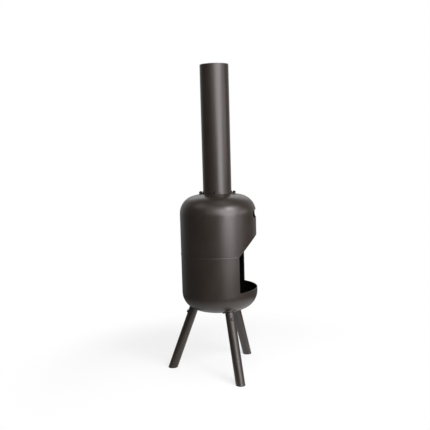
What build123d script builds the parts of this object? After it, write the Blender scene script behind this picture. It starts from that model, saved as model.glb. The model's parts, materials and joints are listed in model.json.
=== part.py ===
from build123d import *
import math
import os

# Outdoor fireplace: a steel vessel of two drawn half shells stands on three splayed tube
# legs. The lower half ends in a fire bowl, the upper half in a hood cut back over the
# mouth. A chimney pipe stands in the crown, held by four bolted lugs.
# Millimetres, Z up, the mouth faces -Y. Pieces are drawn about the vessel's axis and are
# moved as one so that the middle of the overall footprint is the origin.

# Driving dimensions: the vessel
body_diameter = 350.0
shell_wall = 3.0
ground_clearance = 281.5    # under the bowl's lowest point
lower_shell_height = 271.5
upper_shell_height = 280.0  # before the flue hole is cut
top_crown_radius = 460.0
top_knuckle_radius = 82.0
bottom_crown_radius = 460.0
bottom_knuckle_radius = 82.5

# The mouth and the oval opening above it
bowl_depth = 110.0
mouth_width = 278.0
hood_tip_rise = 83.5        # from the seam up to the front of the hood's edge
slot_width = 112.0
slot_height = 36.0
slot_drop = 98.0            # from the crown down to the oval's middle

# The strip that backs the seam from inside
band_width = 30.0
band_wall = 2.5
band_gap = 0.2
band_end_angle = 4.0        # from the mouth's side edge back to the strip's end, degrees

# The chimney
chimney_diameter = 130.0
chimney_wall = 2.0
chimney_rise = 573.5        # above the crown
chimney_insert = 12.0       # below the crown's skin
flue_hole_gap = 0.5

# The chimney's lugs and their fasteners, M8
lug_width = 40.0
lug_reach = 18.5
lug_upstand = 9.0
lug_thickness = 3.0
lug_corner = 5.0
lug_bend = 1.5
bolt_offset = 11.0          # from the pipe's skin to the bolt's axis
bolt_diameter = 8.0
bolt_hole_gap = 0.5         # on the hole's diameter
bolt_across_flats = 13.0
bolt_head_height = 5.3
bolt_thread_showing = 1.5
bolt_tip_chamfer = 0.8
nut_height = 6.5
washer_diameter = 16.0
washer_thickness = 1.6
seat_gap = 0.1
thread_clearance = 0.05

# The legs
leg_diameter = 42.4
leg_wall = 2.6
foot_circle_radius = 235.0  # of the legs' axes, on the floor
leg_top_circle_radius = 124.0
leg_top_rise = 12.0         # of that upper circle above the bowl's lowest point
front_leg_angle = 63.5      # each front leg from the mouth's centre line, degrees
pad_margin = 8.8
pad_thickness = 4.0
leg_end_gap = 1.0
spigot_gap = 0.3
spigot_wall = 2.6
spigot_length = 58.0

# The locking screw of each leg, M8, and its nut
screw_drop = 34.0           # from the bowl's skin down the leg
screw_diameter = 8.0
screw_length = 16.0
screw_head_diameter = 14.0
screw_head_height = 4.4
screw_head_round = 2.4
screw_socket = 5.0
screw_hole_gap = 0.3        # on the hole's diameter
leg_nut_across_flats = 13.0
leg_nut_height = 6.5

# The plug in each leg's lower end
glide_flange = 3.0
glide_plug_depth = 20.0
glide_plug_wall = 2.5
glide_plug_gap = 0.2

# The loose fire grate
grate_diameter = 264.0
grate_ring_bar = 10.0
grate_bar = 8.0
grate_bar_spacing = 28.0
grate_bar_count = 9
grate_weld_sink = 0.8
grate_seat_gap = 0.3

# Sizes that follow from the ones above
body_radius = body_diameter / 2
seam_height = ground_clearance + lower_shell_height
crown_top = seam_height + upper_shell_height
rim_height = ground_clearance + bowl_depth
mouth_side_y = -math.sqrt(body_radius**2 - (mouth_width / 2) ** 2)
mouth_half_angle = math.degrees(math.asin(mouth_width / 2 / body_radius))
chimney_radius = chimney_diameter / 2
chimney_top = crown_top + chimney_rise
bolt_circle_radius = chimney_radius + bolt_offset
bolt_hole_radius = (bolt_diameter + bolt_hole_gap) / 2
leg_radius = leg_diameter / 2
leg_trim = 2 * leg_diameter  # how far a leg's blanks run past each end until they are cut
splay = math.atan2(
    foot_circle_radius - leg_top_circle_radius, ground_clearance + leg_top_rise
)
spigot_radius = leg_radius - leg_wall - spigot_gap
screw_hole_radius = (screw_diameter + screw_hole_gap) / 2
rear_reach = foot_circle_radius + leg_radius / math.cos(splay)
to_origin = Location((0, (body_radius - rear_reach) / 2, 0))
lug_azimuths = {"front": -90.0, "right": 0.0, "rear": 90.0, "left": 180.0}
leg_azimuths = {
    "rear": 90.0,
    "front_left": -90.0 - front_leg_angle,
    "front_right": -90.0 + front_leg_angle,
}
far = 2 * body_diameter + chimney_top  # longer than the whole fireplace
on_base = (Align.CENTER, Align.CENTER, Align.MIN)


class Head:
    """A drawn end of the vessel: a shallow crown, joined to the wall by a knuckle."""

    def __init__(self, end_height, crown_radius, knuckle_radius, side):
        """side is 1 for the end that faces up and -1 for the end that faces down."""
        self.crown_radius = crown_radius
        self.knuckle_radius = knuckle_radius
        self.side = side
        self.knuckle_r = body_radius - knuckle_radius
        to_knuckle = crown_radius - knuckle_radius
        self.lean = math.asin(self.knuckle_r / to_knuckle)
        self.crown_z = end_height - side * crown_radius
        self.knuckle_z = self.crown_z + side * to_knuckle * math.cos(self.lean)

    def on_crown(self, angle, grow):
        radius = self.crown_radius + grow
        return (
            radius * math.sin(angle),
            self.crown_z + self.side * radius * math.cos(angle),
        )

    def on_knuckle(self, angle, grow):
        radius = self.knuckle_radius + grow
        return (
            self.knuckle_r + radius * math.sin(angle),
            self.knuckle_z + self.side * radius * math.cos(angle),
        )

    def height(self, radius, grow=0.0):
        """Height at this distance from the axis of the skin moved out by grow."""
        crown = self.crown_radius + grow
        if radius <= crown * math.sin(self.lean):
            return self.crown_z + self.side * math.sqrt(crown**2 - radius**2)
        knuckle = self.knuckle_radius + grow
        rise = math.sqrt(knuckle**2 - (radius - self.knuckle_r) ** 2)
        return self.knuckle_z + self.side * rise

    def solid(self, grow=0.0):
        """Solid half vessel up to the seam's plane, its skin moved out by grow."""
        apex = self.on_crown(0, grow)
        tangent = self.on_crown(self.lean, grow)
        wall_start = self.on_knuckle(math.pi / 2, grow)
        wall_end = (body_radius + grow, seam_height)
        outline = [
            ThreePointArc(apex, self.on_crown(self.lean / 2, grow), tangent),
            ThreePointArc(
                tangent, self.on_knuckle((self.lean + math.pi / 2) / 2, grow), wall_start
            ),
            Line(wall_start, wall_end),
            Line(wall_end, (0, seam_height)),
            Line((0, seam_height), apex),
        ]
        return revolve(Plane.XZ * make_face(outline), Axis.Z)


hood = Head(crown_top, top_crown_radius, top_knuckle_radius, 1)
bowl = Head(ground_clearance, bottom_crown_radius, bottom_knuckle_radius, -1)


def tube(outer_radius, wall, length, start=0.0):
    """Tube along +Z from height start."""
    ring = Circle(outer_radius) - Circle(outer_radius - wall)
    return Pos(0, 0, start) * extrude(ring, length)


def rod(radius, length, start=0.0):
    """Round bar along +Z from height start."""
    return Pos(0, 0, start) * extrude(Circle(radius), length)


def hexagon_bar(across_flats, length, start=0.0):
    """Hexagonal bar along +Z from height start."""
    outline = RegularPolygon(across_flats / 2, 6, major_radius=False)
    return Pos(0, 0, start) * extrude(outline, length)


def space_below(height):
    return Pos(0, 0, height - far / 2) * Box(2 * far, 2 * far, far)


def space_above(height):
    return Pos(0, 0, height + far / 2) * Box(2 * far, 2 * far, far)


# The two half shells

bolt_tilt = math.degrees(math.asin(bolt_circle_radius / top_crown_radius))
bolt_seat = Location(
    (bolt_circle_radius, 0, hood.height(bolt_circle_radius)), (0, bolt_tilt, 0)
)
bolt_hole = bolt_seat * Cylinder(bolt_hole_radius, 4 * (shell_wall + lug_thickness))


def make_lower_shell():
    """Drawn lower half: the fire bowl, and the side walls each side of the mouth."""
    shell = bowl.solid() - bowl.solid(-shell_wall)
    mouth = Pos(0, -body_radius, rim_height) * Box(
        mouth_width, 2 * body_radius, far, align=on_base
    )
    return shell - mouth


def make_upper_shell():
    """Drawn upper half: a hood cut back along a slope, with the flue hole on top."""
    shell = hood.solid() - hood.solid(-shell_wall)
    slope = math.atan2(hood_tip_rise, body_radius + mouth_side_y)
    cut_plane = Plane(
        origin=(0, mouth_side_y, seam_height),
        x_dir=(1, 0, 0),
        z_dir=(0, -math.sin(slope), -math.cos(slope)),
    )
    shell -= cut_plane * Box(far, far, far, align=on_base)
    shell -= rod(chimney_radius + flue_hole_gap, far)
    slot_plane = Plane(
        origin=(0, 0, crown_top - slot_drop), x_dir=(1, 0, 0), z_dir=(0, -1, 0)
    )
    shell -= extrude(slot_plane * SlotOverall(slot_width, slot_height), body_diameter)
    for azimuth in lug_azimuths.values():
        shell -= Rot(0, 0, azimuth) * bolt_hole
    return shell


def make_seam_backing_band():
    """Rolled strip welded inside the seam, from one side of the mouth to the other."""
    middle = body_radius - shell_wall - band_gap - band_wall / 2
    section = Plane.XZ * Pos(middle, seam_height) * Rectangle(band_wall, band_width)
    half_open = mouth_half_angle + band_end_angle
    start = Rot(0, 0, half_open - 90) * section
    return revolve(start, Axis.Z, revolution_arc=360 - 2 * half_open)


# The chimney and what holds it


def make_chimney_pipe():
    """Rolled and seam-welded pipe that passes through the crown."""
    start = hood.height(chimney_radius) - chimney_insert
    return tube(chimney_radius, chimney_wall, chimney_top - start, start)


def make_lug_ring():
    """A full ring with the lug's bent section: flange on the crown, upstand on the pipe."""
    slope = math.tan(math.radians(bolt_tilt))
    inner = chimney_radius + seat_gap
    outer = chimney_radius + lug_reach
    throat = inner + lug_thickness

    def underside(radius):
        seat = hood.height(bolt_circle_radius) + seat_gap
        return seat - (radius - bolt_circle_radius) * slope

    top = underside(inner) + lug_upstand
    heel_point = (inner, underside(inner))
    throat_point = (throat, underside(throat) + lug_thickness)
    section = make_face(
        Polyline(
            heel_point,
            (outer, underside(outer)),
            (outer, underside(outer) + lug_thickness),
            throat_point,
            (throat, top),
            (inner, top),
            close=True,
        )
    )
    for point, radius in (heel_point, lug_bend + lug_thickness / 2), (throat_point, lug_bend):
        corner = section.vertices().sort_by_distance(Vector(*point))[0]
        section = fillet(corner, radius)
    return revolve(Plane.XZ * section, Axis.Z)


def make_lug():
    """One lug at azimuth 0, with rounded outer corners and a hole for its bolt."""
    outer = chimney_radius + lug_reach
    outline = Pos(outer / 2, 0) * Rectangle(outer, lug_width)
    outline = fillet(outline.vertices().group_by(Axis.X)[-1], lug_corner)
    return (make_lug_ring() & extrude(outline, far)) - bolt_hole


def make_lug_fasteners():
    """Bolt, its two washers and nut at azimuth 0; the bolt is put in from inside."""
    inside = -shell_wall - seat_gap
    outside = lug_thickness + 2 * seat_gap
    head_top = inside - washer_thickness
    nut_base = outside + washer_thickness
    shank_end = nut_base + nut_height + bolt_thread_showing
    shank = rod(bolt_diameter / 2, shank_end - head_top, head_top)
    tip = shank.edges().sort_by(Axis.Z)[-1]
    bolt = chamfer(tip, bolt_tip_chamfer) + hexagon_bar(
        bolt_across_flats, bolt_head_height, head_top - bolt_head_height
    )
    washer_wall = washer_diameter / 2 - bolt_hole_radius
    washers = [
        tube(washer_diameter / 2, washer_wall, washer_thickness, start)
        for start in (head_top, outside)
    ]
    nut = hexagon_bar(bolt_across_flats, nut_height, nut_base)
    nut -= rod(bolt_diameter / 2 + thread_clearance, far)
    return bolt_seat * bolt, [bolt_seat * washer for washer in washers], bolt_seat * nut


# The legs, each drawn along +X and then turned to its place

leg_line = Plane(
    origin=(foot_circle_radius, 0, 0),
    x_dir=(math.cos(splay), 0, math.sin(splay)),
    z_dir=(-math.sin(splay), 0, math.cos(splay)),
)


def measure_leg():
    """From the floor up the leg's axis to the bowl's skin."""
    axis = Axis(leg_line.origin, leg_line.z_dir)
    hits = [point for point, _ in bowl.solid().find_intersection_points(axis)]
    return min((point - leg_line.origin).length for point in hits)


leg_length = measure_leg()
screw_place = leg_line * Pos(0, 0, leg_length - screw_drop) * Rot(0, 90, 0)


def make_leg_pad():
    """Dished round plate welded under the bowl to spread the leg's load."""
    skin = bowl.solid(seat_gap + pad_thickness) - bowl.solid(seat_gap)
    return skin & leg_line * rod(leg_radius + pad_margin, leg_length + leg_trim)


def make_leg_spigot():
    """Short tube welded to the pad, over which the leg slides."""
    start = leg_length - spigot_length
    blank = tube(spigot_radius, spigot_wall, spigot_length + leg_trim, start)
    hole = rod(screw_hole_radius, leg_radius)
    return leg_line * blank - bowl.solid(2 * seat_gap + pad_thickness) - screw_place * hole


def make_leg():
    """Leg tube, coped to the pad at its top and cut level above the plug's flange."""
    blank = tube(leg_radius, leg_wall, leg_length + 2 * leg_trim, -leg_trim)
    cope = bowl.solid(pad_thickness + leg_end_gap)
    hole = rod(screw_hole_radius, leg_diameter)
    return leg_line * blank - cope - space_below(glide_flange) - screw_place * hole


def make_leg_screw():
    """Button-head screw through the leg's outer side into the nut."""
    head_base = leg_radius + seat_gap
    head = rod(screw_head_diameter / 2, screw_head_height, head_base)
    head = fillet(head.edges().sort_by(Axis.Z)[-1], screw_head_round)
    socket = hexagon_bar(
        screw_socket, screw_head_height, head_base + screw_head_height / 2
    )
    shank = rod(screw_diameter / 2, screw_length, head_base - screw_length)
    return screw_place * (shank + head - socket)


def make_leg_nut():
    """Nut welded to the spigot's inner wall, behind the screw hole."""
    wall = spigot_radius - spigot_wall
    corner = leg_nut_across_flats / math.sqrt(3)
    face = math.sqrt(wall**2 - corner**2) - seat_gap
    nut = hexagon_bar(leg_nut_across_flats, leg_nut_height, face - leg_nut_height)
    return screw_place * (nut - rod(screw_diameter / 2 + thread_clearance, far))


def make_foot_glide():
    """Moulded plug in the leg's lower end, with a level flange on the floor."""
    flange = leg_line * rod(leg_radius, glide_flange + 2 * leg_trim, -leg_trim)
    flange = flange - space_below(0) - space_above(glide_flange)
    plug_radius = leg_radius - leg_wall - glide_plug_gap
    length = glide_flange + glide_plug_depth + 2 * leg_trim
    plug = leg_line * tube(plug_radius, glide_plug_wall, length, -leg_trim)
    plug = plug - space_below(0) - space_above(glide_flange + glide_plug_depth)
    return flange + plug


# The loose grate


def make_fire_grate():
    """Round-bar ring resting on the bowl, with straight bars welded across its top."""
    ring_radius = (grate_diameter - grate_ring_bar) / 2
    grate = Torus(ring_radius, grate_ring_bar / 2)
    lift = (grate_ring_bar + grate_bar) / 2 - grate_weld_sink
    for number in range(grate_bar_count):
        x = (number - (grate_bar_count - 1) / 2) * grate_bar_spacing
        length = 2 * math.sqrt(ring_radius**2 - x**2) + grate_ring_bar / 2
        grate += Pos(x, 0, lift) * Rot(90, 0, 0) * Cylinder(grate_bar / 2, length)
    seat = bowl.height(ring_radius, -shell_wall - grate_seat_gap - grate_ring_bar / 2)
    return Pos(0, 0, seat) * grate


# Every node, about the vessel's axis

nodes = {
    "lower_shell": [make_lower_shell()],
    "upper_shell": [make_upper_shell()],
    "seam_backing_band": [make_seam_backing_band()],
    "chimney_pipe": [make_chimney_pipe()],
    "fire_grate": [make_fire_grate()],
    "chimney_bolts": [],
    "chimney_washers": [],
    "chimney_nuts": [],
    "leg_screws": [],
    "leg_screw_nuts": [],
}

lug = make_lug()
bolt, washers, nut = make_lug_fasteners()
for place, azimuth in lug_azimuths.items():
    turn = Rot(0, 0, azimuth)
    nodes[f"chimney_lug_{place}"] = [turn * lug]
    nodes["chimney_bolts"].append(turn * bolt)
    nodes["chimney_washers"] += [turn * washer for washer in washers]
    nodes["chimney_nuts"].append(turn * nut)

leg_pieces = {
    "leg": make_leg(),
    "leg_pad": make_leg_pad(),
    "leg_spigot": make_leg_spigot(),
    "foot_glide": make_foot_glide(),
}
leg_screw = make_leg_screw()
leg_nut = make_leg_nut()
for place, azimuth in leg_azimuths.items():
    turn = Rot(0, 0, azimuth)
    for name, piece in leg_pieces.items():
        nodes[f"{place}_{name}"] = [turn * piece]
    nodes["leg_screws"].append(turn * leg_screw)
    nodes["leg_screw_nuts"].append(turn * leg_nut)

os.makedirs("parts", exist_ok=True)
for name, pieces in nodes.items():
    solids = [to_origin * solid for piece in pieces for solid in piece.solids()]
    node = solids[0] if len(solids) == 1 else Compound(children=solids)
    node.label = name
    export_step(node, f"parts/{name}.step")
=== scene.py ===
import json
import math

import bmesh
import bpy
from mathutils import Matrix, Vector, noise
from mathutils.bvhtree import BVHTree


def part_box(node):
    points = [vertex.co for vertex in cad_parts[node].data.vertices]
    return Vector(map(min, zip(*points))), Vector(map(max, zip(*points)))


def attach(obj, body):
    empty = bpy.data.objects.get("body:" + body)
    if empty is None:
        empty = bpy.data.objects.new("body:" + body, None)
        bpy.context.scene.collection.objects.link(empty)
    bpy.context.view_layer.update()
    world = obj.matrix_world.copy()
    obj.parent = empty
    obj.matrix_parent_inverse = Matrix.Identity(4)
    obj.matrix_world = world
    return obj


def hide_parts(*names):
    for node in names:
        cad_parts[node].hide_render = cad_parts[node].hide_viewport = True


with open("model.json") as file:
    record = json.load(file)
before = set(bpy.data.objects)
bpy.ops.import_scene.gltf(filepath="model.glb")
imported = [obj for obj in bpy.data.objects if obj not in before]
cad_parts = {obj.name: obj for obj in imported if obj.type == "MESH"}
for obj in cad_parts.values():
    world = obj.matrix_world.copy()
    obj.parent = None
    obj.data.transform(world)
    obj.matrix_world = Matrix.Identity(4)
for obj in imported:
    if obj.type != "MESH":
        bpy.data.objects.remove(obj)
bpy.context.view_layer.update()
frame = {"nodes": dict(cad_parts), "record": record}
nodes = frame["nodes"]
mounts = {mount["name"]: Vector(mount["pos_m"]) for mount in frame["record"]["mounts"]}


# Camera
# The photograph is taken from the fireplace's left side, nearly three metres away and a little
# above the fire bowl, with the camera rolled slightly clockwise.

axis_point = Vector((mounts["flue_outlet"].x, mounts["flue_outlet"].y, 0))
camera_distance = 2.8707
camera_height = 1.0576
camera_azimuth = math.radians(186.758)  # round the vessel's axis, from +X
camera_heading = math.radians(-82.9738)  # from looking along +Y
camera_pitch = 0.1143
camera_roll = -0.0272
picture_side = 430
focal_pixels = 627.3
sensor_width = 36.0

camera_data = bpy.data.cameras.new("camera")
camera_data.sensor_width = sensor_width
camera_data.lens = focal_pixels / picture_side * sensor_width
camera = bpy.data.objects.new("camera", camera_data)
bpy.context.scene.collection.objects.link(camera)
towards_camera = Vector((math.cos(camera_azimuth), math.sin(camera_azimuth), 0))
camera_place = axis_point + camera_distance * towards_camera + Vector((0, 0, camera_height))
camera.matrix_world = (
    Matrix.Translation(camera_place)
    @ Matrix.Rotation(camera_heading, 4, "Z")
    @ Matrix.Rotation(math.pi / 2 - camera_pitch, 4, "X")
    @ Matrix.Rotation(camera_roll, 4, "Z")
)
bpy.context.scene.camera = camera


# The two half shells
# Deep-drawn steel, 3 mm thick. Outside they are sprayed with brown-black satin stove paint,
# which dries with a fine orange peel. Inside they are matt black: soot, darkened further by painted
# shade.


class Value:
    """A number, colour or vector that one node's socket gives."""

    def __init__(self, network, socket):
        self.network = network
        self.socket = socket

    def math(self, operation, *others):
        inputs = dict(enumerate((self, *others)))
        return self.network.add("ShaderNodeMath", {"operation": operation}, inputs)

    def __add__(self, other):
        return self.math("ADD", other)

    def __mul__(self, other):
        return self.math("MULTIPLY", other)

    def __rsub__(self, other):
        return self.math("MULTIPLY_ADD", -1, other)

    __radd__ = __add__
    __rmul__ = __mul__

    def vector(self, operation, other=(0, 0, 0), output=0):
        settings = {"operation": operation}
        return self.network.add("ShaderNodeVectorMath", settings, {0: self, 1: other}, output)

    def dot(self, other):
        return self.vector("DOT_PRODUCT", other, "Value")

    def step(self, low, high):
        """0 below low, 1 above high, and smooth between them."""
        settings = {"interpolation_type": "SMOOTHSTEP"}
        return self.network.add("ShaderNodeMapRange", settings, {0: self, 1: low, 2: high})


class Network:
    """The nodes of one material or world."""

    def __init__(self, owner):
        owner.use_nodes = True
        self.tree = owner.node_tree

    def connect(self, socket, value):
        if isinstance(value, Value):
            self.tree.links.new(value.socket, socket)
        else:
            socket.default_value = value

    def add(self, kind, settings=None, inputs=None, output=0):
        node = self.tree.nodes.new(kind)
        for name, value in (settings or {}).items():
            setattr(node, name, value)
        for name, value in (inputs or {}).items():
            self.connect(node.inputs[name], value)
        return Value(self, node.outputs[output])


class Finish(Network):
    """A material with one Principled shader, patterned by the place on the object."""

    def __init__(self, name):
        self.material = bpy.data.materials.new(name)
        super().__init__(self.material)
        self.shader = self.tree.nodes["Principled BSDF"]
        self.place = self.add("ShaderNodeTexCoord", output="Object")
        self.normal = self.add("ShaderNodeNewGeometry", output="Normal")

    def set(self, name, value):
        self.connect(self.shader.inputs[name], value)

    def noise(self, size, detail=2.0):
        """Noise from 0 to 1 with lumps of about this size in metres."""
        inputs = {"Vector": self.place, "Scale": 1 / size, "Detail": detail}
        return self.add("ShaderNodeTexNoise", None, inputs)

    def blend(self, factor, first, second):
        """The first colour where factor is 0, and the second where it is 1."""
        inputs = {0: factor, 6: (*first, 1), 7: (*second, 1)}
        return self.add("ShaderNodeMix", {"data_type": "RGBA"}, inputs, 2)

    def cover(self, share, colour):
        """A matt surface of this colour takes over where share is 0."""
        inputs = {"Base Color": colour, "Roughness": 0.9, "Specular IOR Level": 0.08}
        matt = self.add("ShaderNodeBsdfPrincipled", None, inputs)
        glossy = Value(self, self.shader.outputs["BSDF"])
        both = self.add("ShaderNodeMixShader", None, {0: share, 1: matt, 2: glossy})
        self.connect(self.tree.nodes["Material Output"].inputs["Surface"], both)

    def relief(self, height, depth):
        """Bumps of this depth in metres where height goes from 0 to 1."""
        self.set("Normal", self.add("ShaderNodeBump", None, {"Height": height, "Distance": depth}))


def dress(finish, *names):
    for name in names:
        materials = nodes[name].data.materials
        materials.clear()
        materials.append(finish.material)


seam_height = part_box("upper_shell")[0].z
body_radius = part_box("lower_shell")[1].x
straight_half = 0.186  # above and below the seam, the shells' walls stay upright this far
shell_middle = axis_point + Vector((0, 0, seam_height))

paint_colours = (0.0202, 0.0145, 0.0103), (0.0246, 0.0176, 0.0127)
paint_roughness = 0.28
paint_unevenness = 0.06  # of its roughness
waviness = 0.8  # of the paint's waves, beside its grain
# Matt near-black for the inside of the shells and pipe: soot, darkened further as painted shade in the
# hollow.
soot_and_painted_shade_colours = (0.0016, 0.0014, 0.0012), (0.0040, 0.0036, 0.0032)


def stove_paint(name, paint_share=None, gloss=0.75):
    """Paint all over, or where paint_share is 1, giving way to soot and painted shade where it is 0."""
    finish = Finish(name)
    finish.set("Specular IOR Level", gloss)
    clouds = finish.noise(size=0.09, detail=3)
    mottle = finish.noise(size=0.016)
    finish.set("Base Color", finish.blend(clouds.step(0.3, 0.7), *paint_colours))
    finish.set("Roughness", paint_roughness + clouds * paint_unevenness + mottle * paint_unevenness)
    if paint_share:
        # Soot with painted shade over it, where paint_share falls to 0 on the inside.
        soot_and_painted_shade = finish.blend(mottle.step(0.35, 0.7), *soot_and_painted_shade_colours)
        finish.cover(paint_share(finish), soot_and_painted_shade)
    grain = finish.noise(size=0.0014)
    waves = finish.noise(size=0.011, detail=1)
    finish.relief(grain + waves * waviness, depth=0.00006)
    return finish


# Where a normal's outward part is below the first number the skin takes soot and painted shade, above
# the second paint. Outward is away from the axis on a wall, and from the shells' middle in their ends.
wall_limits = (-0.97, -0.90)
end_limits = (-0.02, 0.0)
end_blend = 0.004  # the height over which the one test gives way to the other


def outside_of_shell(finish):
    """1 on the shells' outside and on their cut edges, 0 on their inside."""
    outward = finish.place.vector("SUBTRACT", shell_middle)
    sideways = outward.vector("MULTIPLY", (1, 1, 0)).vector("NORMALIZE")
    height = outward.dot((0, 0, 1)).math("ABSOLUTE")
    in_the_ends = height.step(straight_half, straight_half + end_blend)
    on_the_wall = sideways.dot(finish.normal).step(*wall_limits)
    on_the_ends = outward.dot(finish.normal).step(*end_limits)
    return on_the_wall * (1 - in_the_ends) + on_the_ends * in_the_ends


dress(stove_paint("shell_paint", outside_of_shell), "lower_shell", "upper_shell")


# Seam between the half shells
# The shells butt together at mid height over a rolled backing band, and one bead is run round
# them from one edge of the mouth to the other. It is painted over with the rest.

plain_paint = stove_paint("stove_paint")
dress(plain_paint, "seam_backing_band")

sharp_angle = math.radians(40)


def add_piece(name, shape, finish, body="stove"):
    """Makes a piece of the object from a bmesh."""
    bmesh.ops.remove_doubles(shape, verts=shape.verts, dist=1e-6)
    bmesh.ops.recalc_face_normals(shape, faces=shape.faces)
    for face in shape.faces:
        face.smooth = True
    mesh = bpy.data.meshes.new(name)
    shape.to_mesh(mesh)
    shape.free()
    mesh.set_sharp_from_angle(angle=sharp_angle)
    mesh.materials.append(finish.material)
    piece = bpy.data.objects.new(name, mesh)
    bpy.context.scene.collection.objects.link(piece)
    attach(piece, body)
    return piece


# How a bead's size changes along it, as shares of its full size
ripple_share = 0.18
uneven_share = 0.22
slow_share = 1.4  # of the slow unevenness, beside the quick one
end_size = 0.35
end_length = 5  # stations, from the end to the full size
ripple_lag = 0.35  # of a ripple's length, by which the bead's edges trail
bead_sides = 10


def lay_bead(shape, path, width, height, ripple_length):
    """Welds along a path of points, each with its outward direction, in overlapping ripples."""
    last = len(path) - 1
    stations = []
    travelled = 0.0
    for number, (point, outward) in enumerate(path):
        before, after = path[max(number - 1, 0)][0], path[min(number + 1, last)][0]
        travelled += (point - before).length
        ripple = abs(math.sin(math.pi * travelled / ripple_length))
        ripples = travelled / ripple_length
        quick = noise.noise(Vector((ripples / 2.3, width * 1000, point.z * 9)))
        slow = noise.noise(Vector((ripples / 7.1, point.z * 5, width * 700)))
        uneven = quick + slow * slow_share
        taper = min(1, end_size + min(number, last - number) / end_length)
        size = (1 - ripple_share + ripple_share * ripple + uneven_share * uneven) * taper
        along = (after - before).normalized()
        stations.append((point, outward, along, outward.cross(along).normalized(), size))
    wrap = bmesh.ops.create_grid(shape, x_segments=bead_sides, y_segments=last, size=0.5)["verts"]
    for vertex in wrap:
        point, outward, along, sideways, size = stations[round((vertex.co.y + 0.5) * last)]
        across, out = math.sin(2 * math.pi * vertex.co.x), math.cos(2 * math.pi * vertex.co.x)
        vertex.co = (
            point
            + sideways * across * size * width / 2
            + outward * out * size * height
            - along * across**2 * size * ripple_length * ripple_lag
        )
    bmesh.ops.remove_doubles(shape, verts=wrap, dist=1e-7)
    bmesh.ops.holes_fill(shape, edges=[e for e in shape.edges if e.is_boundary], sides=bead_sides)


def round_axis(azimuth, radius, height):
    """A point about the vessel's axis, with the level direction that faces away from it."""
    outward = Vector((math.cos(azimuth), math.sin(azimuth), 0))
    return axis_point + outward * radius + Vector((0, 0, height)), outward


mouth_half_width = 0.139
bead_stop = 0.002  # short of the mouth's edges
mouth_angle = math.asin((mouth_half_width + bead_stop) / body_radius)
seam_start = -math.pi / 2 + mouth_angle
seam_turn = 2 * math.pi - 2 * mouth_angle
seam_steps = 1250
seam_path = [
    round_axis(seam_start + seam_turn * step / seam_steps, body_radius, seam_height)
    for step in range(seam_steps + 1)
]
seam = bmesh.new()
lay_bead(seam, seam_path, width=0.0052, height=0.0011, ripple_length=0.0028)
add_piece("seam_weld", seam, plain_paint)


# Chimney pipe
# Thin welded steel tube, matt black inside with soot and painted shade, and painted outside, where it
# shines a little less than the shells. Its factory seam runs up the back, a narrow bead that was rolled
# nearly flat.


def outside_of_pipe(finish):
    outward = finish.place.vector("SUBTRACT", axis_point)
    sideways = outward.vector("MULTIPLY", (1, 1, 0)).vector("NORMALIZE")
    return sideways.dot(finish.normal).step(*wall_limits)


dress(stove_paint("pipe_paint", outside_of_pipe, gloss=0.68), "chimney_pipe")

pipe_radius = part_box("chimney_pipe")[1].x
pipe_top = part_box("chimney_pipe")[1].z
crown_hole_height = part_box("upper_shell")[1].z
pipe_seam_azimuth = math.radians(67)
pipe_seam_step = 0.0006
pipe_seam_low = crown_hole_height + 0.003
pipe_seam_high = pipe_top - 0.001
pipe_seam = bmesh.new()
pipe_seam_path = [
    round_axis(pipe_seam_azimuth, pipe_radius, pipe_seam_low + pipe_seam_step * step)
    for step in range(int((pipe_seam_high - pipe_seam_low) / pipe_seam_step))
]
lay_bead(pipe_seam, pipe_seam_path, width=0.0022, height=0.0002, ripple_length=0.0024)
add_piece("chimney_pipe_seam", pipe_seam, plain_paint)


# Chimney lugs
# Four bent steel lugs stand on the crown. Each is welded to the pipe round its upright part,
# up one side, along the top and down the other.

lug_azimuths = [math.radians(angle) for angle in (-90, 0, 90, 180)]
lug_names = ["chimney_lug_front", "chimney_lug_right", "chimney_lug_rear", "chimney_lug_left"]
dress(plain_paint, *lug_names)

lug_half_width = (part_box("chimney_lug_front")[1].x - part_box("chimney_lug_front")[0].x) / 2
lug_bead_out = 0.0006  # the bead's middle lies this far outside the lug's edge
lug_bead_side = lug_half_width + lug_bead_out
lug_bead_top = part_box("chimney_lug_front")[1].z + lug_bead_out
lug_bead_foot = crown_hole_height + 0.0015
lug_bead_corner = 0.002
lug_bead_step = 0.0006


def beside_lug(distance):
    """Sideways place and height on the bead, this far along it from the lug's top middle."""
    side = math.copysign(1, distance)
    past_top = abs(distance) - (lug_bead_side - lug_bead_corner)
    if past_top < 0:
        return distance, lug_bead_top
    angle = past_top / lug_bead_corner
    if angle < math.pi / 2:
        inset = lug_bead_corner * (1 - math.sin(angle))
        drop = lug_bead_corner * (1 - math.cos(angle))
        return side * (lug_bead_side - inset), lug_bead_top - drop
    down = past_top - lug_bead_corner * math.pi / 2
    return side * lug_bead_side, lug_bead_top - lug_bead_corner - down


lug_bead_half = lug_bead_side + lug_bead_top - lug_bead_foot - (2 - math.pi / 2) * lug_bead_corner
lug_bead_count = round(lug_bead_half / lug_bead_step)
lug_welds = bmesh.new()
for azimuth in lug_azimuths:
    path = []
    for step in range(-lug_bead_count, lug_bead_count + 1):
        sideways, height = beside_lug(step * lug_bead_step)
        path.append(round_axis(azimuth + sideways / pipe_radius, pipe_radius, height))
    lay_bead(lug_welds, path, width=0.0036, height=0.0019, ripple_length=0.0021)
add_piece("chimney_lug_welds", lug_welds, plain_paint)


# Chimney bolts, washers and nuts
# Each lug is held by one M8 bolt, pushed up from inside the hood through a washer, with a
# washer and a nut outside. They are blackened steel, bright only where a spanner has rubbed.

blackened = (0.035, 0.033, 0.032)
rubbed = (0.085, 0.080, 0.075)
black_steel = Finish("black_steel")
black_clouds = black_steel.noise(size=0.0035, detail=3)
black_steel.set("Base Color", black_steel.blend(black_clouds.step(0.35, 0.75), blackened, rubbed))
black_steel.set("Metallic", 0.85)
black_steel.set("Roughness", 0.34 + black_clouds * 0.25)
black_steel.relief(black_steel.noise(size=0.0005), depth=0.00002)
dress(black_steel, "chimney_washers")

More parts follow.
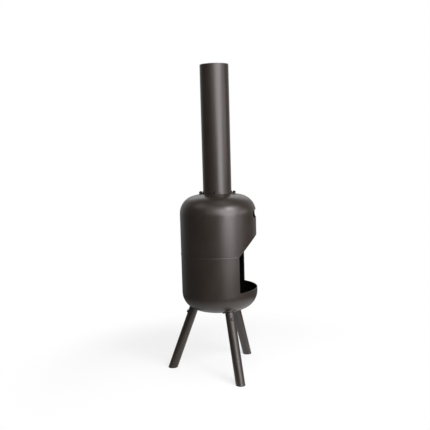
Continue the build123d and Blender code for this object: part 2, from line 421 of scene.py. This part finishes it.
crown_radius = 0.460
bolt_circle = 0.076
bolt_tilt = math.asin(bolt_circle / crown_radius)
crown_hole_radius = pipe_radius + 0.0005
crown_centre_height = crown_hole_height - math.sqrt(crown_radius**2 - crown_hole_radius**2)
bolt_seat_height = crown_centre_height + crown_radius * math.cos(bolt_tilt)

# Heights along the bolt, from the shell's outer skin
head_low, head_high = -0.0100, -0.0047
thread_start = -0.0028
nut_low, nut_high = 0.0048, 0.0113
bolt_tip = 0.0128

bolt_radius = 0.004
thread_root = 0.00335
thread_pitch = 0.00125
thread_taper = 0.0004  # from the shank down to the thread's root
thread_short = 0.0009  # of the tip
thread_sunk = 0.0001  # into the core
crest_low = 0.00003  # under the bolt's radius
tip_chamfer = 0.0006
tip_length = 0.0007
across_flats = 0.013
face_radius = 0.0061  # of the round face inside the chamfer
rim_edge = 0.0008  # of a blank, until it is pressed
nut_bore = 0.00405
tolerance = 0.0001

turning_steps = 48
thread_steps = 24  # in one turn


def turned(shape, outline, closed=False):
    """Turns an outline of radii and heights into a round body about the Z axis."""
    points = [shape.verts.new((radius, 0, height)) for radius, height in outline]
    pairs = list(zip(points, points[1:])) + ([(points[-1], points[0])] if closed else [])
    edges = [shape.edges.new(pair) for pair in pairs]
    bmesh.ops.spin(
        shape, geom=points + edges, cent=(0, 0, 0), axis=(0, 0, 1),
        angle=2 * math.pi, steps=turning_steps, use_merge=True,
    )


def press_hexagon(shape, low, high):
    """Forms the widest part of a turned blank into a hexagon with chamfered corners."""
    for vertex in shape.verts:
        radius = vertex.co.xy.length
        if radius > face_radius + tolerance:
            angle = math.atan2(vertex.co.y, vertex.co.x)
            flat = across_flats / 2 / math.cos((angle + math.pi / 6) % (math.pi / 3) - math.pi / 6)
            chamfer = (flat - face_radius) * math.tan(math.radians(30))
            vertex.co.x *= flat / radius
            vertex.co.y *= flat / radius
            vertex.co.z = high - chamfer if vertex.co.z > (low + high) / 2 else low + chamfer


def cut_thread(shape, low, high):
    """Winds a ridge round the bolt's core, from one height to the other."""
    section = [(-0.42, 0), (-0.06, 1), (0.06, 1), (0.42, 0)]  # pitches along, share of the way out
    sunk = thread_root - thread_sunk
    crest = bolt_radius - crest_low
    points = [
        shape.verts.new((sunk + (crest - sunk) * out, 0, low + along * thread_pitch))
        for along, out in section
    ]
    edges = [shape.edges.new(pair) for pair in zip(points, points[1:] + points[:1])]
    shape.faces.new(points)
    turns = (high - low) / thread_pitch
    steps = round(thread_steps * turns)
    made = bmesh.ops.spin(
        shape, geom=points + edges, cent=(0, 0, 0), axis=(0, 0, 1),
        dvec=(0, 0, (high - low) / steps), angle=2 * math.pi * turns, steps=steps,
    )["geom_last"]
    bmesh.ops.contextual_create(shape, geom=[e for e in made if isinstance(e, bmesh.types.BMEdge)])


def blank_rim(low, high):
    """The outline of a blank's rim, before it is pressed into a hexagon."""
    rim = across_flats / 2 / math.cos(math.pi / 6)
    return [(face_radius, low), (rim, low + rim_edge), (rim, high - rim_edge), (face_radius, high)]


bolt = bmesh.new()
turned(
    bolt,
    [(0, head_low), *blank_rim(head_low, head_high), (bolt_radius, head_high)]
    + [(bolt_radius, thread_start - thread_taper), (thread_root, thread_start)]
    + [(thread_root, bolt_tip - tip_length), (thread_root - tip_chamfer, bolt_tip), (0, bolt_tip)],
)
press_hexagon(bolt, head_low, head_high)
cut_thread(bolt, thread_start, bolt_tip - thread_short)

nut = bmesh.new()
turned(nut, [(nut_bore, nut_low), *blank_rim(nut_low, nut_high), (nut_bore, nut_high)], closed=True)
press_hexagon(nut, nut_low, nut_high)


def at_each_lug(shape, first_turns):
    """Copies a shape to the four bolt holes, each turned about its own axis by some degrees."""
    single = bpy.data.meshes.new("single")
    shape.to_mesh(single)
    shape.free()
    group = bmesh.new()
    for azimuth, first_turn in zip(lug_azimuths, first_turns):
        seat = (
            Matrix.Translation(axis_point)
            @ Matrix.Rotation(azimuth, 4, "Z")
            @ Matrix.Translation((bolt_circle, 0, bolt_seat_height))
            @ Matrix.Rotation(bolt_tilt, 4, "Y")
            @ Matrix.Rotation(math.radians(first_turn), 4, "Z")
        )
        there = single.copy()
        there.transform(seat)
        group.from_mesh(there)
        bpy.data.meshes.remove(there)
    bpy.data.meshes.remove(single)
    return group


bolt_turns = (4, 31, 17, 48)
bolts = add_piece("threaded_bolts", at_each_lug(bolt, bolt_turns), black_steel)
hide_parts("chimney_bolts")
nut_turns = (12, 40, 55, 27)
nuts = add_piece("pressed_nuts", at_each_lug(nut, nut_turns), black_steel)
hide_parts("chimney_nuts")


# Leg pads and spigots
# A dished pad is welded to the bowl all round for each leg, and carries a short tube that
# the leg slides over. Pad and spigot are painted with the bowl.

leg_places = ["rear", "front_left", "front_right"]
dress(plain_paint, *[f"{place}_leg_pad" for place in leg_places])
dress(plain_paint, *[f"{place}_leg_spigot" for place in leg_places])

leg_top_radius = 0.124
leg_top_height = 0.2935
pad_radius = 0.030
pad_bead_out = 0.0005
pad_bead_steps = 300
pad_bead_overlap = 4  # steps
above_the_foot = 0.1  # where each ray starts that finds the bowl's skin
bowl_skin = BVHTree.FromObject(nodes["lower_shell"], bpy.context.evaluated_depsgraph_get())
pad_welds = bmesh.new()
for place in leg_places:
    foot = mounts[f"{place}_foot_sole"]
    outward = (foot - axis_point).normalized()
    leg_top = axis_point + outward * leg_top_radius + Vector((0, 0, leg_top_height))
    leg_line = (leg_top - foot).normalized()
    across = leg_line.cross(Vector((0, 0, 1))).normalized()
    path = []
    for step in range(pad_bead_steps + pad_bead_overlap):
        turn = Matrix.Rotation(2 * math.pi * step / pad_bead_steps, 4, leg_line)
        from_line = turn @ across
        below = foot + leg_line * above_the_foot + from_line * (pad_radius + pad_bead_out)
        skin = bowl_skin.ray_cast(below, leg_line)[0]
        path.append((skin - leg_line * pad_bead_out, (from_line - leg_line).normalized()))
    lay_bead(pad_welds, path, width=0.0046, height=0.0019, ripple_length=0.0024)
add_piece("leg_pad_welds", pad_welds, plain_paint)


# Legs
# Three lengths of steel tube, cut to the pads' slope at the top and level at the foot. They
# are sprayed like the body, in a thinner coat that shines a little less.

dress(stove_paint("leg_paint", gloss=0.58), *[f"{place}_leg" for place in leg_places])


# Locking screws
# One M8 button-head screw in each leg's outer side, with a nut inside the spigot.

dress(black_steel, "leg_screws", "leg_screw_nuts")


# Foot glides
# Moulded black plastic plugs in the legs' ends, with a fine grain and a matt skin.

glide_plastic = Finish("glide_plastic")
glide_plastic.set("Base Color", (0.018, 0.018, 0.018, 1))
glide_plastic.set("Roughness", 0.55)
glide_plastic.relief(glide_plastic.noise(size=0.0006, detail=1), depth=0.00004)
dress(glide_plastic, *[f"{place}_foot_glide" for place in leg_places])


# Fire grate
# Bars of round steel welded across a ring, left bare, blue-black with scale and browned by
# heat. A dab of weld sits in each corner between a bar and the ring.

scale_black = (0.036, 0.036, 0.038)
heat_brown = (0.085, 0.058, 0.042)
scale_steel = Finish("scale_steel")
scale_patches = scale_steel.noise(size=0.018, detail=4)
scale_steel.set("Base Color", scale_steel.blend(scale_patches.step(0.4, 0.65), scale_black, heat_brown))
scale_steel.set("Metallic", 0.6)
scale_steel.set("Roughness", 0.5 + scale_patches * 0.3)
scale_steel.relief(scale_steel.noise(size=0.0012, detail=3), depth=0.0001)
dress(scale_steel, "fire_grate")

grate_low, grate_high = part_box("fire_grate")
ring_bar = 0.010
grate_bar = 0.008
bar_spacing = 0.028
bars_each_side = 4
ring_radius = (grate_high.x - grate_low.x - ring_bar) / 2
ring_top = grate_low.z + ring_bar
dab_radius = 0.0029
dab_stretch = (0.9, 1.5, 0.8)
dab_unevenness = 0.25
dab_beside_bar = grate_bar * 0.45
dab_sunk = 0.0003
dabs = bmesh.new()
for number in range(-bars_each_side, bars_each_side + 1):
    bar_x = number * bar_spacing
    crossing_y = math.sqrt(ring_radius**2 - bar_x**2)
    for end in (-1, 1):
        for side in (-1, 1):
            spot = Vector((bar_x + side * dab_beside_bar, end * crossing_y, ring_top - dab_sunk))
            dab = bmesh.ops.create_icosphere(dabs, subdivisions=2, radius=dab_radius)["verts"]
            for vertex in dab:
                vertex.co *= 1 + dab_unevenness * noise.noise(vertex.co * 500 + spot * 90)
            bmesh.ops.scale(dabs, vec=dab_stretch, verts=dab)
            bmesh.ops.translate(dabs, vec=spot + axis_point, verts=dab)
add_piece("grate_weld_dabs", dabs, scale_steel, body="grate")


# Floor and studio
# A round of white paper and a white backdrop, in a darker room. A tall soft box stands right of
# the camera, with weaker ones before, above and beside it, and faint ones all round.

paper_radius = 1.1
paper_fade = (0.55, 1.05)  # from here to here its grey gives way to plain white
paper_grey = 0.34
paper_bounce = 0.06  # the light it sheds on the object
paper_level = 0.90  # the light that falls on it, as a share of full
mirrored_paper = 1.2  # its brightness in what the paint mirrors
mirrored_fade = (0.15, 0.8)
glow_middle = axis_point + Vector((-0.03, -0.25, 0))  # where it mirrors brightest

paper_mesh = bmesh.new()
bmesh.ops.create_circle(paper_mesh, cap_ends=True, segments=96, radius=paper_radius)
bmesh.ops.translate(paper_mesh, verts=paper_mesh.verts, vec=axis_point)
paper_data = bpy.data.meshes.new("floor")
paper_mesh.to_mesh(paper_data)
paper_mesh.free()
floor = bpy.data.objects.new("floor", paper_data)
bpy.context.scene.collection.objects.link(floor)

paper_material = bpy.data.materials.new("floor")
paper_data.materials.append(paper_material)
paper = Network(paper_material)
paper_place = paper.add("ShaderNodeTexCoord", output="Object")
from_axis = paper_place.vector("DISTANCE", axis_point, "Value")
paper_share = (1 - from_axis.step(*paper_fade)) * paper_grey
from_glow = paper_place.vector("DISTANCE", glow_middle, "Value")
mirrored_share = (1 - from_glow.step(*mirrored_fade)) * mirrored_paper
background_rays = (
    paper.add("ShaderNodeLightPath", output="Is Camera Ray")
    + paper.add("ShaderNodeLightPath", output="Is Glossy Ray") * mirrored_share
    + paper.add("ShaderNodeLightPath", output="Is Transmission Ray")
)
paper_colour = paper.add("ShaderNodeCombineColor", None, {number: paper_share for number in range(3)})
paper_diffuse = paper.add("ShaderNodeBsdfDiffuse", None, {"Color": paper_colour})
paper_glow = paper_bounce + background_rays * (1 - paper_bounce - paper_share * paper_level)
paper_emission = paper.add("ShaderNodeEmission", None, {"Strength": paper_glow})
paper_surface = paper.add("ShaderNodeAddShader", None, {0: paper_diffuse, 1: paper_emission})
paper.connect(paper.tree.nodes["Material Output"].inputs["Surface"], paper_surface)

room_light = 0.10
backdrop_light = 0.42
backdrop_sides = (0.2, 0.8)  # how squarely a direction faces the backdrop, from its edge inward
backdrop_foot = (-0.3, 0.0)  # the slope at which its light rises from nothing to full

studio_world = bpy.data.worlds.new("studio")
bpy.context.scene.world = studio_world
studio = Network(studio_world)
direction = studio.add("ShaderNodeTexCoord", output="Generated")
upward = direction.dot((0, 0, 1))
backdrop = direction.dot(-towards_camera).step(*backdrop_sides) * upward.step(*backdrop_foot)
room = room_light + backdrop * backdrop_light
camera_sees = studio.add("ShaderNodeLightPath", output="Is Camera Ray")
background = studio.tree.nodes["Background"]
studio.connect(background.inputs["Color"], (1, 1, 1, 1))
studio.connect(background.inputs["Strength"], camera_sees + (1 - camera_sees) * room)

lamp_distance = 3.0
lamp_aim_height = 0.8
lamp_colour = (1.0, 0.957, 0.99)  # of the main ones


def soft_box(name, azimuth, elevation, size, power, colour=(1, 1, 1)):
    """A rectangular lamp that faces the vessel's middle, in degrees, metres and watts."""
    data = bpy.data.lights.new(name, "AREA")
    data.shape = "RECTANGLE"
    data.size, data.size_y = size
    data.energy = power
    data.color = colour
    lamp = bpy.data.objects.new(name, data)
    bpy.context.scene.collection.objects.link(lamp)
    aim = axis_point + Vector((0, 0, lamp_aim_height))
    level = Vector((math.cos(math.radians(azimuth)), math.sin(math.radians(azimuth)), 0))
    rise = math.radians(elevation)
    place = aim + lamp_distance * (math.cos(rise) * level + Vector((0, 0, math.sin(rise))))
    turn = (aim - place).to_track_quat("-Z", "Y").to_matrix().to_4x4()
    lamp.matrix_world = Matrix.Translation(place) @ turn


soft_box("key", azimuth=219, elevation=15, size=(2.4, 2.8), power=97, colour=lamp_colour)
soft_box("key_core", azimuth=219, elevation=-3, size=(0.7, 0.4), power=6, colour=lamp_colour)
soft_box("key_top", azimuth=227, elevation=38, size=(0.8, 0.8), power=22, colour=lamp_colour)
soft_box("side", azimuth=252, elevation=16, size=(0.8, 3.0), power=13, colour=lamp_colour)
soft_box("mouth_fill", azimuth=269, elevation=9, size=(1.2, 0.9), power=6)
soft_box("front", azimuth=190, elevation=24, size=(0.9, 1.8), power=13)
soft_box("left", azimuth=168, elevation=32, size=(1.3, 3.0), power=9)
soft_box("far_left", azimuth=115, elevation=50, size=(1.8, 1.3), power=6)
soft_box("back", azimuth=5, elevation=32, size=(3.0, 1.6), power=12)
soft_box("overhead", azimuth=246, elevation=78, size=(1.2, 1.2), power=4)

bpy.context.scene.view_settings.view_transform = "Standard"
